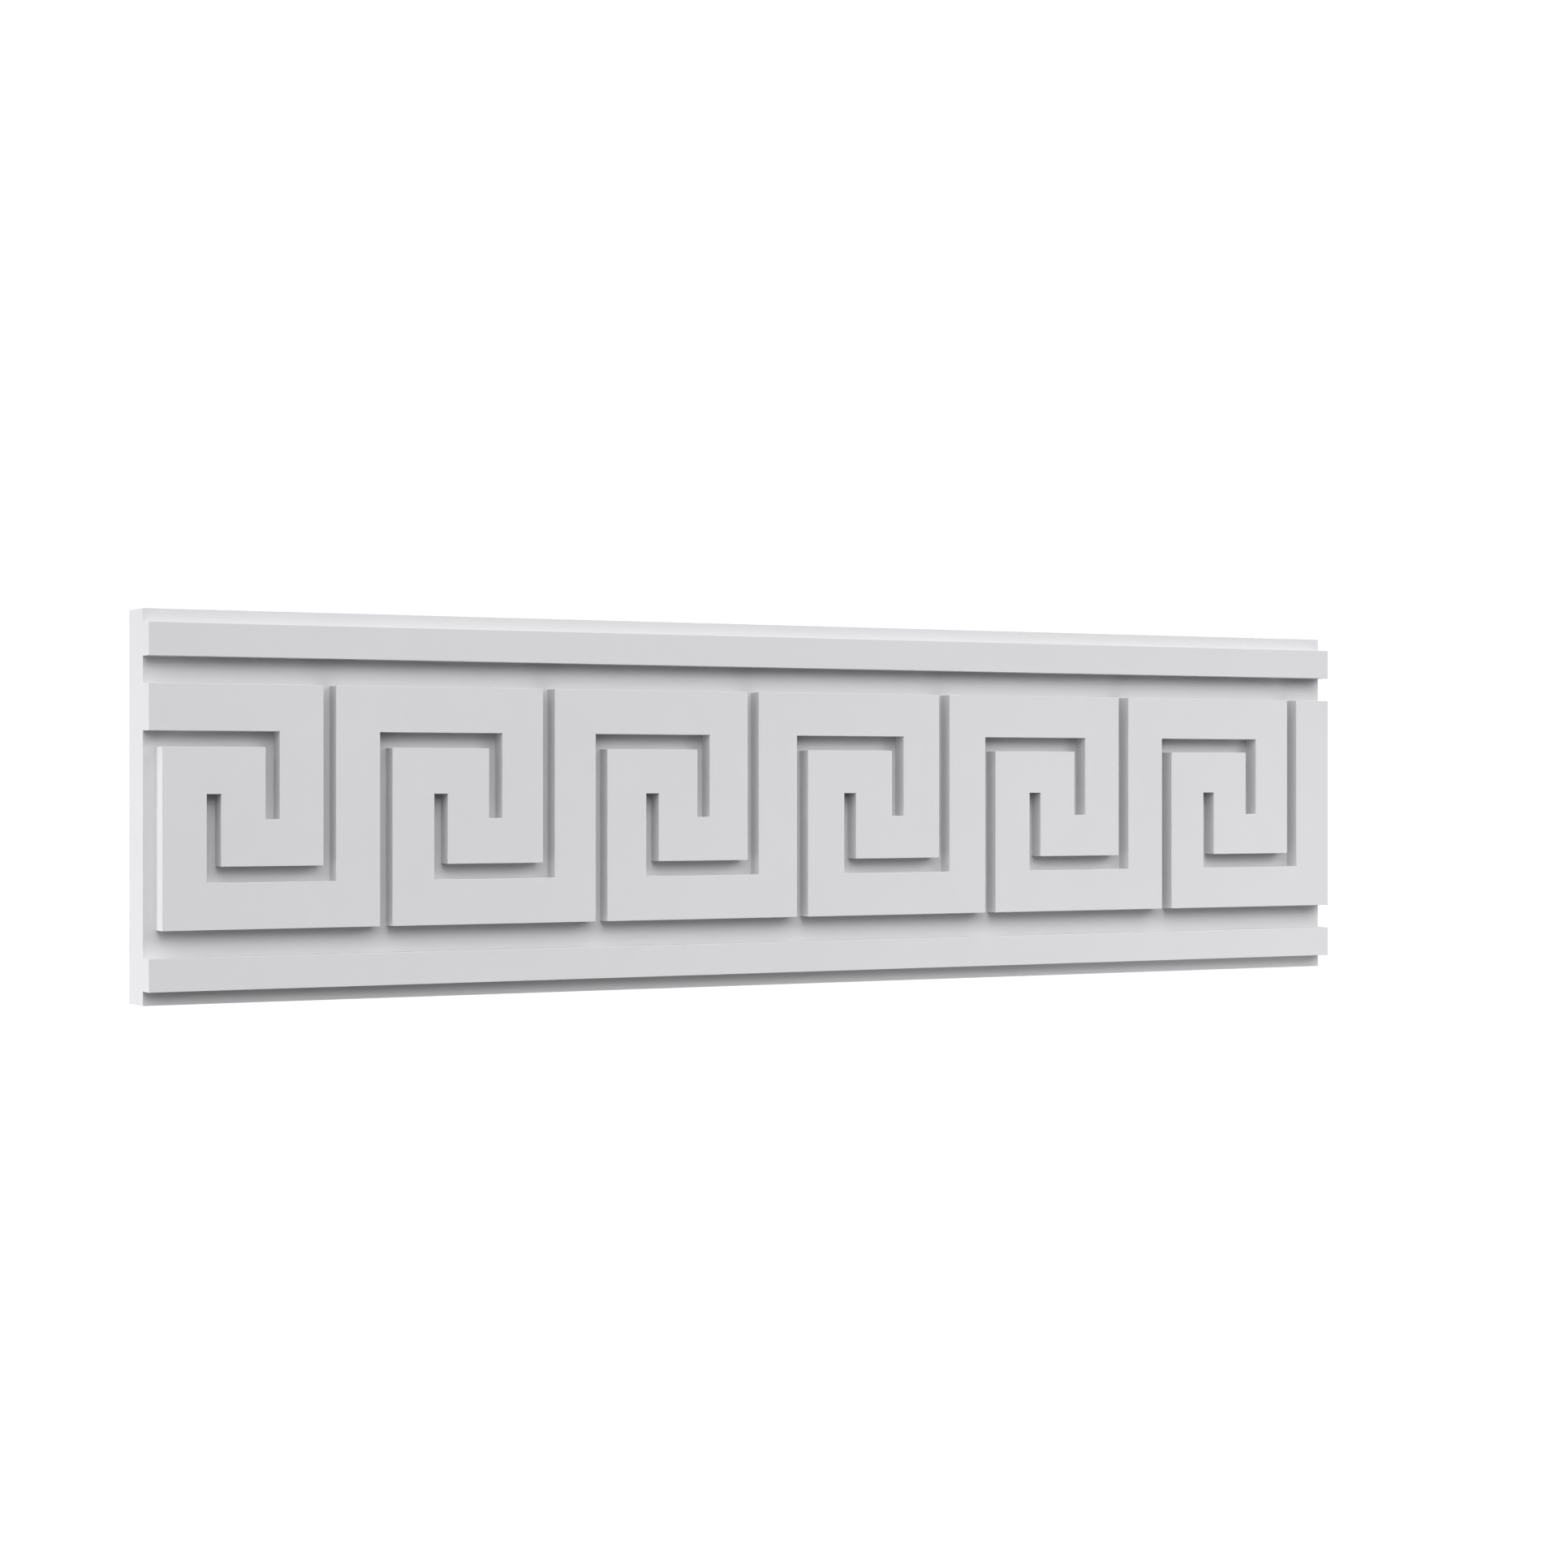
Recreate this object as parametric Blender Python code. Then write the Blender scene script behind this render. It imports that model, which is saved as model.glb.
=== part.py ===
"""A metre of Greek key frieze, cast in one piece.

A flat backing carries two plain rails, one near its top and one near its bottom, and between
them one raised band that winds through six keys. X runs along the wall, Z is up, and Y points
into the wall. The origin is the middle of the flat back.
"""

from math import radians

import bmesh
import bpy
from mathutils import Matrix, Vector

# Overall sizes, in metres
LENGTH = 1.000
HEIGHT = 0.270
BACKING = 0.030          # thickness of the plain backing
RELIEF = 0.013           # how far the rails and the key stand out of the backing

# Heights of the level members, the same at the top and at the bottom
EDGE_STRIP = 0.00975     # bare backing outside each rail
RAIL = 0.02275
CHANNEL = 0.0185         # bare backing between a rail and the key

# The key, from left to right in one repeat
KEYS = 6
OUTER_GROOVE = 0.0095    # the two that run on to a channel
INNER_GROOVE = 0.0103    # the two that end inside the key
OUTER_LEFT_BAND = 0.0313
INNER_LEFT_BAND = 0.0317
INNER_RIGHT_BAND = 0.0317

# The key, from bottom to top
LEVEL_BAND = 0.0322
LEVEL_GROOVE = 0.0109

NAME = "frieze"
PLASTER_COLOUR = (0.66, 0.66, 0.675, 1.0)
PLASTER_ROUGHNESS = 0.85

MERGE_DISTANCE = 0.00001  # the flat caps of the extruded outline meet its sides this closely

FRONT = -(BACKING + RELIEF)
ROOT = -BACKING / 2      # the raised members reach halfway into the backing, which they join
KEY_BOTTOM = -HEIGHT / 2 + EDGE_STRIP + RAIL + CHANNEL
KEY_TOP = -KEY_BOTTOM


def clear_scene():
    for thing in list(bpy.data.objects):
        bpy.data.objects.remove(thing, do_unlink=True)


def new_collection(name):
    collection = bpy.data.collections.new(name)
    bpy.context.scene.collection.children.link(collection)
    return collection


def plaster():
    material = bpy.data.materials.new("white_plaster")
    material.use_nodes = True
    shader = material.node_tree.nodes["Principled BSDF"]
    shader.inputs["Base Color"].default_value = PLASTER_COLOUR
    shader.inputs["Roughness"].default_value = PLASTER_ROUGHNESS
    shader.inputs["Metallic"].default_value = 0.0
    return material


def add_box(name, low, high, collection):
    """A box between two opposite corners."""
    low = Vector(low)
    high = Vector(high)
    size = high - low
    place = Matrix.Translation((low + high) / 2) @ Matrix.Diagonal((*size, 1.0))
    shape = bmesh.new()
    bmesh.ops.create_cube(shape, size=1.0, matrix=place)
    mesh = bpy.data.meshes.new(name)
    shape.to_mesh(mesh)
    shape.free()
    box = bpy.data.objects.new(name, mesh)
    collection.objects.link(box)
    return box


def add_rail(name, bottom, collection):
    low = (-LENGTH / 2, FRONT, bottom)
    high = (LENGTH / 2, ROOT, bottom + RAIL)
    return add_box(name, low, high, collection)


def key_stations():
    """Where the four upright grooves of one key start and end, from its left side."""
    first = OUTER_GROOVE
    second_start = first + OUTER_LEFT_BAND
    second_end = second_start + INNER_GROOVE
    third_start = second_end + INNER_LEFT_BAND
    third_end = third_start + INNER_GROOVE
    fourth_start = third_end + INNER_RIGHT_BAND
    fourth_end = fourth_start + OUTER_GROOVE
    return first, (second_start, second_end), (third_start, third_end), (fourth_start, fourth_end)


def groove_from_below(left):
    """The groove that is open at the bottom: up, along under the top band, and down inside."""
    first, _, (inner_left, inner_right), _ = key_stations()
    ceiling = KEY_TOP - LEVEL_BAND
    ledge = ceiling - LEVEL_GROOVE
    foot = KEY_BOTTOM + LEVEL_BAND + LEVEL_GROOVE + LEVEL_BAND
    path = [
        (0.0, KEY_BOTTOM),
        (0.0, ceiling),
        (inner_right, ceiling),
        (inner_right, foot),
        (inner_left, foot),
        (inner_left, ledge),
        (first, ledge),
        (first, KEY_BOTTOM),
    ]
    return [(left + x, z) for x, z in path]


def groove_from_above(left):
    """The groove that is open at the top: down, back over the bottom band, and up inside."""
    _, (inner_left, inner_right), _, (outer_left, outer_right) = key_stations()
    floor = KEY_BOTTOM + LEVEL_BAND
    ledge = floor + LEVEL_GROOVE
    head = KEY_TOP - LEVEL_BAND - LEVEL_GROOVE - LEVEL_BAND
    path = [
        (outer_right, KEY_TOP),
        (outer_right, floor),
        (inner_left, floor),
        (inner_left, head),
        (inner_right, head),
        (inner_right, ledge),
        (outer_left, ledge),
        (outer_left, KEY_TOP),
    ]
    return [(left + x, z) for x, z in path]


def key_outline():
    """The winding band's outline: right along the bottom, up the end, and back along the top."""
    pitch = LENGTH / KEYS
    starts = [-LENGTH / 2 + number * pitch for number in range(KEYS)]
    bottom = [point for left in starts for point in groove_from_below(left)]
    top = [point for left in reversed(starts) for point in groove_from_above(left)]
    left_end = [(-LENGTH / 2, KEY_TOP)]
    right_end = [(LENGTH / 2, KEY_BOTTOM), (LENGTH / 2, KEY_TOP)]
    # the first groove runs out through the left end, so its first corner isn't on the band
    return bottom[1:] + right_end + top + left_end


def add_key(name, collection):
    """The outline as a flat curve, given its thickness and made a closed mesh."""
    outline = key_outline()
    curve = bpy.data.curves.new(name + "_outline", "CURVE")
    curve.dimensions = "2D"
    curve.fill_mode = "BOTH"
    curve.extrude = (ROOT - FRONT) / 2
    spline = curve.splines.new("POLY")
    spline.points.add(len(outline) - 1)
    for point, (x, z) in zip(spline.points, outline):
        point.co = (x, z, 0.0, 1.0)
    spline.use_cyclic_u = True

    drawn = bpy.data.objects.new(curve.name, curve)
    drawn.location = (0.0, (ROOT + FRONT) / 2, 0.0)
    drawn.rotation_euler = (radians(90), 0.0, 0.0)
    collection.objects.link(drawn)
    bpy.context.view_layer.update()

    evaluated = drawn.evaluated_get(bpy.context.evaluated_depsgraph_get())
    mesh = bpy.data.meshes.new_from_object(evaluated)
    shape = bmesh.new()
    shape.from_mesh(mesh)
    bmesh.ops.remove_doubles(shape, verts=shape.verts, dist=MERGE_DISTANCE)
    bmesh.ops.recalc_face_normals(shape, faces=shape.faces)
    shape.to_mesh(mesh)
    shape.free()

    key = bpy.data.objects.new(name, mesh)
    key.matrix_world = drawn.matrix_world
    collection.objects.link(key)
    bpy.data.objects.remove(drawn, do_unlink=True)
    bpy.data.curves.remove(curve)
    return key


def join_to(body, member):
    """Unites a raised member with the body, and keeps the member itself out of sight."""
    union = body.modifiers.new("with_" + member.name, "BOOLEAN")
    union.operation = "UNION"
    union.solver = "EXACT"
    union.object = member
    member.hide_render = True
    member.display_type = "WIRE"


def build():
    clear_scene()
    parts = new_collection(NAME)
    members = new_collection("raised_members")

    low = (-LENGTH / 2, -BACKING, -HEIGHT / 2)
    high = (LENGTH / 2, 0.0, HEIGHT / 2)
    frieze = add_box(NAME, low, high, parts)
    frieze.data.materials.append(plaster())

    join_to(frieze, add_rail("lower_rail", KEY_BOTTOM - CHANNEL - RAIL, members))
    join_to(frieze, add_rail("upper_rail", KEY_TOP + CHANNEL, members))
    join_to(frieze, add_key("key", members))


build()
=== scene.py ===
from math import cos, radians, sin

import bmesh
import bpy
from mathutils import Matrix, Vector, noise


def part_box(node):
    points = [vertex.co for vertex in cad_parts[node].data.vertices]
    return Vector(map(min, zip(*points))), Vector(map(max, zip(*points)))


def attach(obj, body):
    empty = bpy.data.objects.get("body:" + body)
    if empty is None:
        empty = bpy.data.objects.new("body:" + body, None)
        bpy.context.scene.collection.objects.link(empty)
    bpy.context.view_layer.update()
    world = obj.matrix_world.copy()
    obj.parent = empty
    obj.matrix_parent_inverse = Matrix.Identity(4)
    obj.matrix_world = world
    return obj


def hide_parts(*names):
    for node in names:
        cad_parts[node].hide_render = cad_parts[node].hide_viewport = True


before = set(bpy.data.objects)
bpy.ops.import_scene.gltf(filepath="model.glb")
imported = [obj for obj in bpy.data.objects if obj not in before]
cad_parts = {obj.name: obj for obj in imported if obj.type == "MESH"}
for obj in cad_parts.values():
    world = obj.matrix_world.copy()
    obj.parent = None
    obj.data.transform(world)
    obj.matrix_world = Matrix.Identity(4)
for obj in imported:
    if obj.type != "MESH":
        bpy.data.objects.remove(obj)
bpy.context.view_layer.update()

scene = bpy.context.scene
lowCorner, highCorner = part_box("frieze")
print("stage 1: frame loaded")


# Shader building: a socket that adds up like a number, and one way to make every other node

class Wire:
    def __init__(self, shader, socket):
        self.shader = shader
        self.socket = socket

    def combine(self, operation, first, second):
        return self.shader.node("ShaderNodeMath", {"operation": operation}, {0: first, 1: second})

    def __add__(self, other):
        return self.combine("ADD", self, other)

    def __radd__(self, other):
        return self.combine("ADD", other, self)

    def __sub__(self, other):
        return self.combine("SUBTRACT", self, other)

    def __rsub__(self, other):
        return self.combine("SUBTRACT", other, self)

    def __mul__(self, other):
        return self.combine("MULTIPLY", self, other)

    def __rmul__(self, other):
        return self.combine("MULTIPLY", other, self)

    def __pow__(self, other):
        return self.combine("POWER", self, other)

    def __rpow__(self, other):
        return self.combine("POWER", other, self)

    def over(self, limit):
        return self.combine("GREATER_THAN", self, limit)

    def atLeast(self, limit):
        return self.combine("MAXIMUM", self, limit)

    # how far a noise, which runs from 0 to 1, is from its middle, times a share
    def swing(self, share):
        return (self - 0.5) * share

    def other(self, out):
        return Wire(self.shader, self.socket.node.outputs[out])


class Shader:
    def __init__(self, owner):
        owner.use_nodes = True
        self.tree = owner.node_tree
        self.tree.nodes.clear()

    # settings are set first, then the values and links of the sockets, which go by name,
    # or by number where several share one name
    def node(self, kind, settings=None, values=None, out=0):
        made = self.tree.nodes.new(kind)
        for name, value in (settings or {}).items():
            setattr(made, name, value)
        for name, value in (values or {}).items():
            if isinstance(value, Wire):
                self.tree.links.new(value.socket, made.inputs[name])
            else:
                made.inputs[name].default_value = value
        return Wire(self, made.outputs[out]) if made.outputs else made

    def noise(self, where, perMetre, detail, roughness):
        values = {"Vector": where, "Scale": perMetre, "Detail": detail, "Roughness": roughness}
        return self.node("ShaderNodeTexNoise", {}, values)

    # a noise with its own scale along the frieze and up it, both to a metre
    def drawnOut(self, where, along, up, detail, roughness):
        scale = {"Vector": where, "Scale": (along, 1.0, up)}
        stretched = self.node("ShaderNodeMapping", {"vector_type": "POINT"}, scale)
        return self.noise(stretched, 1.0, detail, roughness)

    # from 0 at the start to 1 at the end
    def rise(self, value, start, end):
        values = {"Value": value, "From Min": start, "From Max": end}
        return self.node("ShaderNodeMapRange", {"interpolation_type": "SMOOTHSTEP"}, values)

    def mix(self, share, first, second):
        firstColour, secondColour, mixedColour = 6, 7, 2
        values = {"Factor": share, firstColour: first, secondColour: second}
        return self.node("ShaderNodeMix", {"data_type": "RGBA"}, values, out=mixedColour)


# Scene building: a finished shape as a mesh, and anything as an object in the scene

def meshFrom(shape, name):
    mesh = bpy.data.meshes.new(name)
    shape.to_mesh(mesh)
    shape.free()
    return mesh


def addObject(name, data):
    made = bpy.data.objects.new(name, data)
    scene.collection.objects.link(made)
    return made


# The casting: the solid's own form, with eased arrises and a struck-off back

castingSettings = {
    "mergeGap": 0.00001,
    "flatAngle": radians(0.5),
    "arrisRadius": 0.0002,      # outer edges, as they leave a rubber mould
    "innerShare": 0.5,          # inner corners are filled by this share of it
    "arrisSteps": 3,
    "levelWeight": 100,         # keeps the broad faces flat in the light
    # the back is struck off flat with a straightedge that is drawn along the open mould
    "margin": 0.004,            # the mould's rim kept this much of the back flat
    "fade": 0.014,              # the marks reach full depth this far in from the margin
    "facesAlong": 72,
    "facesUp": 160,
    # so many marks to a metre along the frieze and up it
    "streaks": {"depth": 0.00011, "along": 3.5, "up": 150.0, "seed": 3.7},
    "swells": {"depth": 0.00035, "along": 5.0, "up": 14.0, "seed": 8.1},
}


# flat faces made whole again, and each edge's share of the easing
def solidWithoutTriangles(settings):
    shape = bmesh.new()
    shape.from_mesh(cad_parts["frieze"].data)
    bmesh.ops.remove_doubles(shape, verts=shape.verts, dist=settings["mergeGap"])
    bmesh.ops.dissolve_limit(shape, angle_limit=settings["flatAngle"], verts=shape.verts, edges=shape.edges)
    weight = shape.edges.layers.float.new("bevel_weight_edge")
    for edge in shape.edges:
        edge[weight] = 1.0 if edge.is_convex else settings["innerShare"]
    return shape


def hollow(x, z, depth, along, up, seed):
    share = 0.5 + 0.5 * noise.noise(Vector((x * along, seed, z * up)))
    return depth * share


def struckDepth(x, z, inset, settings):
    depth = hollow(x, z, **settings["streaks"]) + hollow(x, z, **settings["swells"])
    return depth * min(1.0, inset / settings["fade"])


def strikeOffBack(shape, settings):
    shape.normal_update()
    back = max(shape.faces, key=lambda face: face.normal.y * face.calc_area())
    outer = sorted(back.verts, key=lambda vert: (vert.co.z, vert.co.x))
    bottomLeft, bottomRight, topLeft, topRight = outer
    shape.faces.remove(back)
    left = bottomLeft.co.x + settings["margin"]
    bottom = bottomLeft.co.z + settings["margin"]
    length = topRight.co.x - settings["margin"] - left
    height = topRight.co.z - settings["margin"] - bottom
    rows = []
    for up in range(settings["facesUp"] + 1):
        row = []
        for along in range(settings["facesAlong"] + 1):
            x = length * along / settings["facesAlong"]
            z = height * up / settings["facesUp"]
            inset = min(x, length - x, z, height - z)
            depth = struckDepth(left + x, bottom + z, inset, settings)
            row.append(shape.verts.new((left + x, bottomLeft.co.y - depth, bottom + z)))
        rows.append(row)
    for lower, upper in zip(rows, rows[1:]):
        for corners in zip(lower, upper, upper[1:], lower[1:]):
            shape.faces.new(corners)
    shape.faces.new([bottomLeft, *rows[0], bottomRight])
    shape.faces.new([topLeft, *rows[-1], topRight])
    shape.faces.new([bottomLeft, *(row[0] for row in rows), topLeft])
    shape.faces.new([bottomRight, *(row[-1] for row in rows), topRight])
    bmesh.ops.recalc_face_normals(shape, faces=shape.faces)


def easeArrises(piece, settings):
    eased = piece.modifiers.new("easedArrises", "BEVEL")
    eased.limit_method = "WEIGHT"
    eased.width = settings["arrisRadius"]
    eased.segments = settings["arrisSteps"]
    eased.use_clamp_overlap = False
    level = piece.modifiers.new("levelFaces", "WEIGHTED_NORMAL")
    level.weight = settings["levelWeight"]


def makeCasting(settings):
    shape = solidWithoutTriangles(settings)
    strikeOffBack(shape, settings)
    mesh = meshFrom(shape, "castFrieze")
    mesh.shade_smooth()
    piece = addObject("castFrieze", mesh)
    easeArrises(piece, settings)
    return piece


casting = makeCasting(castingSettings)
print("stage 2: casting made,", len(casting.data.polygons), "faces before its arrises are eased")


# The plaster: a white, dry, matt casting, almost even in tone

plasterSettings = {
    "paler": (0.616, 0.616, 0.629, 1.0),
    "darker": (0.580, 0.580, 0.592, 1.0),
    "clouds": {"perMetre": 7.0, "detail": 2.0, "roughness": 0.5},       # where it dried unevenly
    "cloudShare": 0.9,
    "mottles": {"perMetre": 45.0, "detail": 3.0, "roughness": 0.5},
    "mottleShare": 0.5,
    "mottleHeight": 0.03,
    "grain": {"perMetre": 900.0, "detail": 2.0, "roughness": 0.6},
    "grainShare": 0.35,
    "grainHeight": 0.008,
    "poresPerMetre": 110.0,     # cells, of which only a few hold a pinhole
    "poreRarity": 0.9,
    "poreRadius": 0.00042,
    "poreFloor": 0.6,           # a large pinhole's flat floor and its rim, as shares of the radius
    "poreRim": 0.7,
    # painted shade: the darker tone put inside each pinhole, standing in for the shade in its hollow
    "poreShadeTone": (0.47, 0.47, 0.475, 1.0),
    "poreDepth": 0.25,
    "reliefUnit": 0.001,        # the relief's heights and the pinholes' depth are in millimetres
    "roughness": 0.86,
    "roughnessSwing": 0.10,
    "specularLevel": 0.25,
    # the back: the straightedge's drag lines and swathes, and more and larger pinholes
    "backDepth": 0.0008,        # how near the back face a point counts as back
    "backTone": (0.516, 0.513, 0.510, 1.0),
    "backRoughness": 0.04,
    "backPores": 0.45,          # by so much less rare there, where air rose to the open face
    "backPoreGrowth": 1.3,
    "drags": {"along": 6.0, "up": 380.0, "detail": 4.0, "roughness": 0.6},
    "dragShare": 0.9,
    "dragHeight": 0.05,
    "swathes": {"along": 3.0, "up": 19.0, "detail": 4.0, "roughness": 0.6},
    "swatheShare": 1.8,
}


def pinholes(shader, where, onBack, settings):
    cells = settings["poresPerMetre"]
    grid = {"feature": "F1", "distance": "EUCLIDEAN"}
    values = {"Vector": where, "Scale": cells, "Randomness": 1.0}
    distance = shader.node("ShaderNodeTexVoronoi", grid, values, out="Distance")
    chance = shader.node("ShaderNodeSeparateColor", {}, {"Color": distance.other("Color")}, out="Red")
    radius = settings["poreRadius"] * cells     # in cells, as the distance is
    growth = chance.other("Green") * (1 + onBack * settings["backPoreGrowth"])
    floor = growth * radius * settings["poreFloor"]
    hole = 1 - shader.rise(distance - floor, 0.0, radius * settings["poreRim"])
    return hole * chance.over(settings["poreRarity"] - onBack * settings["backPores"])


def makePlaster(settings):
    material = bpy.data.materials.new("castPlaster")
    shader = Shader(material)
    where = shader.node("ShaderNodeTexCoord", out="Object")
    depth = shader.node("ShaderNodeSeparateXYZ", {}, {"Vector": where}, out="Y")
    onBack = depth.over(highCorner.y - settings["backDepth"])
    clouds = shader.noise(where, **settings["clouds"])
    mottles = shader.noise(where, **settings["mottles"])
    grain = shader.noise(where, **settings["grain"])
    pores = pinholes(shader, where, onBack, settings)
    drags = shader.drawnOut(where, **settings["drags"])
    swathes = shader.drawnOut(where, **settings["swathes"])

    tone = 0.5 + clouds.swing(settings["cloudShare"]) + mottles.swing(settings["mottleShare"])
    tone = tone + grain.swing(settings["grainShare"])
    face = shader.mix(tone, settings["darker"], settings["paler"])
    struckShare = 0.5 + drags.swing(settings["dragShare"]) + swathes.swing(settings["swatheShare"])
    struck = shader.mix(struckShare, face, settings["backTone"])
    colour = shader.mix(onBack, face, struck)
    # painted shade: each pinhole is darkened in colour as if its hollow were shaded
    colour = shader.mix(pores, colour, settings["poreShadeTone"])

    height = grain * settings["grainHeight"] + mottles * settings["mottleHeight"]
    height = height + onBack * drags * settings["dragHeight"] - pores * settings["poreDepth"]
    relief = {"Strength": 1.0, "Distance": settings["reliefUnit"], "Height": height}
    normal = shader.node("ShaderNodeBump", {}, relief)
    roughness = settings["roughness"] + mottles.swing(settings["roughnessSwing"])
    roughness = roughness + onBack * settings["backRoughness"]

    values = {
        "Base Color": colour,
        "Roughness": roughness,
        "Normal": normal,
        "Metallic": 0.0,
        "Specular IOR Level": settings["specularLevel"],
    }
    surface = shader.node("ShaderNodeBsdfPrincipled", {}, values)
    shader.node("ShaderNodeOutputMaterial", {}, {"Surface": surface})
    return material


casting.data.materials.clear()
casting.data.materials.append(makePlaster(plasterSettings))
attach(casting, "root")
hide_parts("frieze")
print("stage 3: plaster on")


# The camera: from the left of the front, a little above the middle of the key

cameraSettings = {
    "place": (-1.1673, -2.1485, 0.0156),
    "turn": (90.0, 0.0, -28.77),
    "lens": 73.78,
    "sensor": 36.0,
}


def addCamera(settings):
    camera = addObject("camera", bpy.data.cameras.new("camera"))
    camera.location = settings["place"]
    camera.rotation_euler = [radians(angle) for angle in settings["turn"]]
    camera.data.lens = settings["lens"]
    camera.data.sensor_width = settings["sensor"]
    scene.camera = camera


addCamera(cameraSettings)


# The studio: a soft sky in front, a plain dim one behind, five soft lamps, and white all round

# directions are in degrees, round from the front to the right, and up
skySettings = {
    "leftPatch": {"around": -90.0, "up": 30.0, "tightness": 2.0, "strength": 1.73},
    "highPatch": {"around": 0.0, "up": 60.0, "tightness": 3.0, "strength": 2.08},
}

# away is measured from the middle of the front
lampSettings = {
    "frontLamp": {"around": -10.0, "up": 25.0, "away": 5.2, "width": 2.8, "watts": 59.0},
    "rightLamp": {"around": 40.0, "up": 25.0, "away": 5.2, "width": 2.8, "watts": 69.0},
    "lowLamp": {"around": 65.0, "up": -45.0, "away": 1.3, "width": 0.7, "watts": 4.7},
    "endLamp": {"around": -95.0, "up": -15.0, "away": 2.6, "width": 1.4, "watts": 30.1},
    "backLamp": {"around": 180.0, "up": 10.0, "away": 2.6, "width": 1.4, "watts": 40.0},
}

studioSettings = {
    "white": (1.0, 1.0, 1.0, 1.0),
    "behind": 0.5,              # the sky's strength behind the frieze, where its wall would be
    "surroundings": 1.05,       # what the camera sees past the frieze, just over white
    "floorDrop": 2.6,           # a frieze is fixed high on a wall
    "floorRadius": 18.0,
    "floorSides": 96,
}


def direction(around, up):
    turn = radians(around)
    tilt = radians(up)
    return Vector((sin(turn) * cos(tilt), -cos(turn) * cos(tilt), sin(tilt)))


def addLamp(name, around, up, away, width, watts):
    light = bpy.data.lights.new(name, "AREA")
    light.shape = "DISK"
    light.size = width
    light.energy = watts
    lamp = addObject(name, light)
    aim = direction(around, up)
    lamp.location = Vector((0.0, lowCorner.y, 0.0)) + aim * away
    lamp.rotation_euler = aim.to_track_quat("Z", "Y").to_euler()
    lamp.visible_camera = False


def skyPatch(shader, view, around, up, tightness, strength):
    facing = {0: view, 1: direction(around, up)}
    cosine = shader.node("ShaderNodeVectorMath", {"operation": "DOT_PRODUCT"}, facing, out="Value")
    return cosine.atLeast(0.0) ** tightness * strength


def addSky(patchSettings, settings):
    world = bpy.data.worlds.new("studio")
    shader = Shader(world)
    view = shader.node("ShaderNodeTexCoord", out="Generated")
    ahead = shader.node("ShaderNodeSeparateXYZ", {}, {"Vector": view}, out="Y")
    behind = ahead.over(0.0)
    patches = [skyPatch(shader, view, **patch) for patch in patchSettings.values()]
    strength = sum(patches) * (1 - behind) + behind * settings["behind"]
    lit = {"Color": settings["white"], "Strength": strength}
    sky = shader.node("ShaderNodeBackground", {}, lit)
    plain = {"Color": settings["white"], "Strength": settings["surroundings"]}
    surroundings = shader.node("ShaderNodeBackground", {}, plain)
    seen = shader.node("ShaderNodeLightPath", out="Is Camera Ray")
    both = shader.node("ShaderNodeMixShader", {}, {"Fac": seen, 1: sky, 2: surroundings})
    shader.node("ShaderNodeOutputWorld", {}, {"Surface": both})
    scene.world = world


def makePaleFloor(settings):
    material = bpy.data.materials.new("paleFloor")
    shader = Shader(material)
    plain = {"Color": settings["white"], "Strength": settings["surroundings"]}
    glow = shader.node("ShaderNodeEmission", {}, plain)
    shader.node("ShaderNodeOutputMaterial", {}, {"Surface": glow})
    return material


def addFloor(settings):
    shape = bmesh.new()
    sides, radius = settings["floorSides"], settings["floorRadius"]
    bmesh.ops.create_circle(shape, cap_ends=True, segments=sides, radius=radius)
    floor = addObject("floor", meshFrom(shape, "floor"))
    floor.data.materials.append(makePaleFloor(settings))
    floor.location = (0.0, 0.0, lowCorner.z - settings["floorDrop"])
    floor.visible_diffuse = False
    floor.visible_glossy = False
    floor.visible_shadow = False


for lampName, lampValues in lampSettings.items():
    addLamp(lampName, **lampValues)
addSky(skySettings, studioSettings)
addFloor(studioSettings)
scene.view_settings.view_transform = "Standard"
print("stage 4: camera and studio ready")

bpy.context.view_layer.update()
